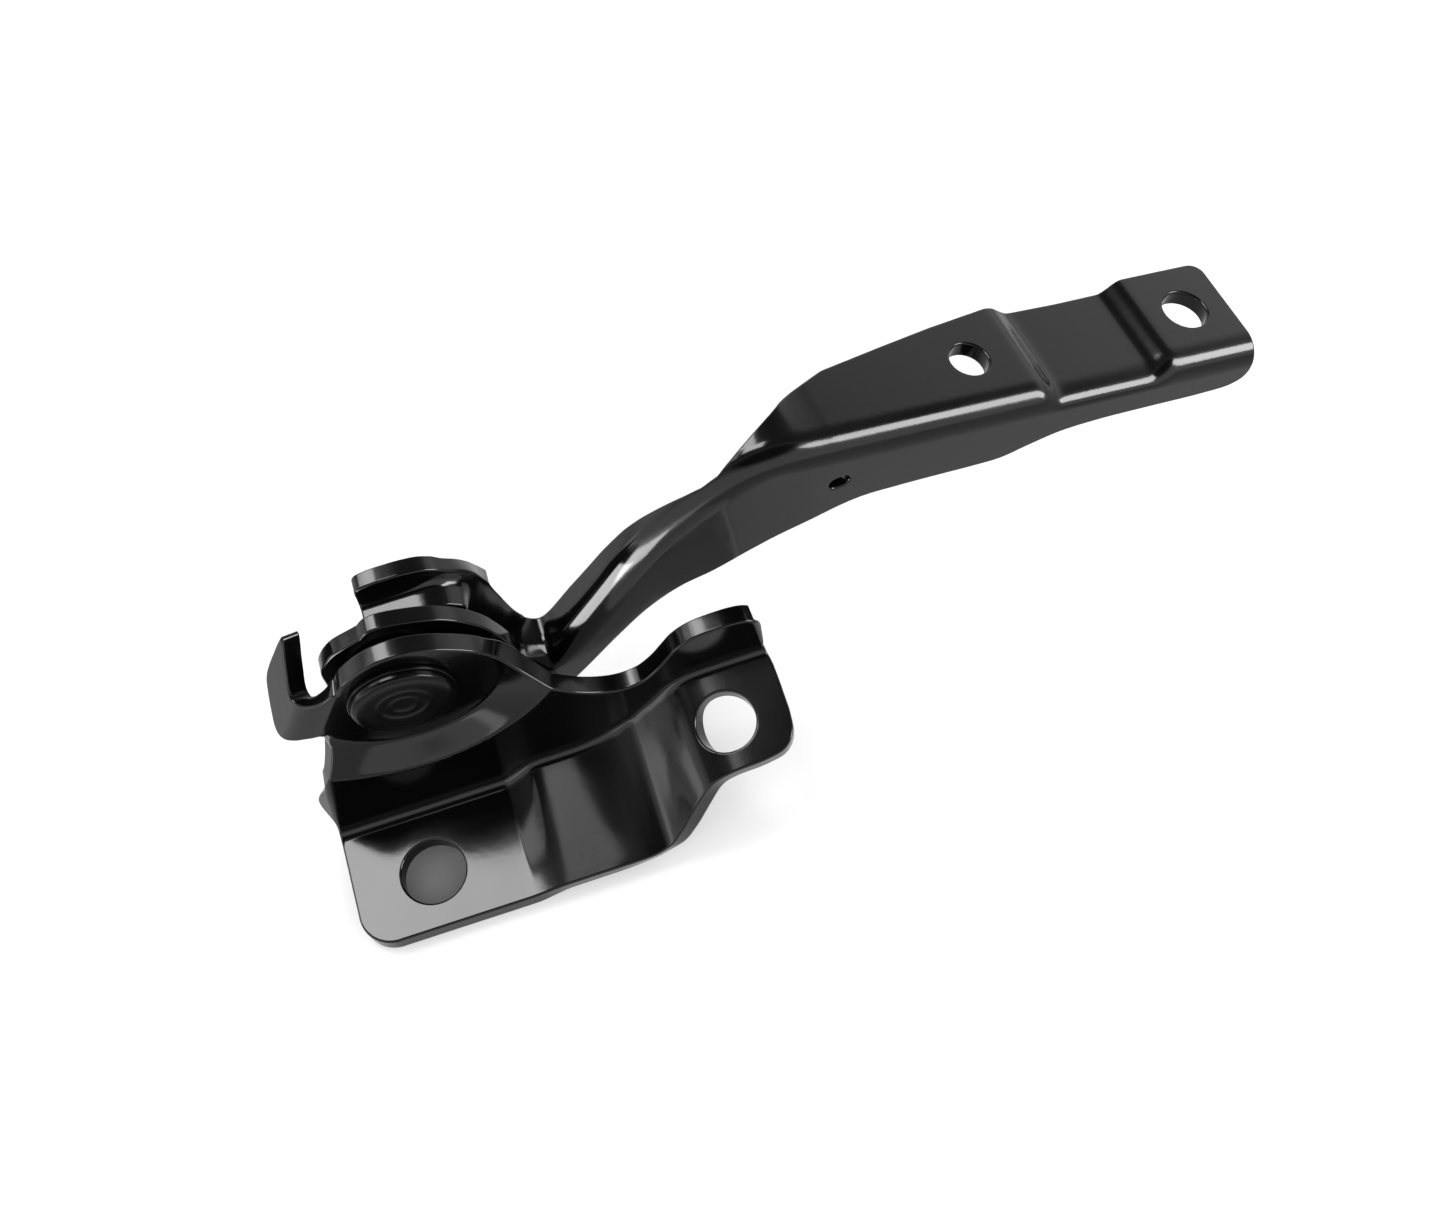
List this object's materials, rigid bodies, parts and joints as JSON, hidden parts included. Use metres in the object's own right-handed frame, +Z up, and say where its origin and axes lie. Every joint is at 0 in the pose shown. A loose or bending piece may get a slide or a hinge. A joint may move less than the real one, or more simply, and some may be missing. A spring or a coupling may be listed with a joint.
{
  "type": "bonnet hinge",
  "caption": "Pressed-steel bonnet hinge: an L-section body bracket with stepped pads and a side hook, and a cranked flanged arm that swings on a riveted pivot.",
  "frame": {"origin": "centre of the left bracket bolt hole on the mounting face under the left pad", "axes": "+X along the bracket towards the arm's free end, +Y along the pivot axis from the rivet head to its tail, +Z up, along the bracket's upright web; the left pad leans 3.3 degrees about X"},
  "size_m": [0.2348, 0.0871, 0.0819],
  "materials": {
    "black_paint": "gloss black dip coat",
    "plain_steel": "dull phosphated steel"
  },
  "bodies": {
    "bracket": {"body_bracket": "black_paint", "pivot_rivet": "black_paint", "head_washer": "black_paint", "spacer_washer": "plain_steel", "tail_washer": "plain_steel"},
    "arm": {"hinge_arm": "black_paint", "pivot_bush": "plain_steel"}
  },
  "joints": [
    {"name": "arm_pivot", "type": "hinge", "parent": "bracket", "child": "arm", "pos_m": [0.0102, 0.0299, 0.051], "axis": [0, -1, 0], "range_deg": [0, 75]}
  ]
}
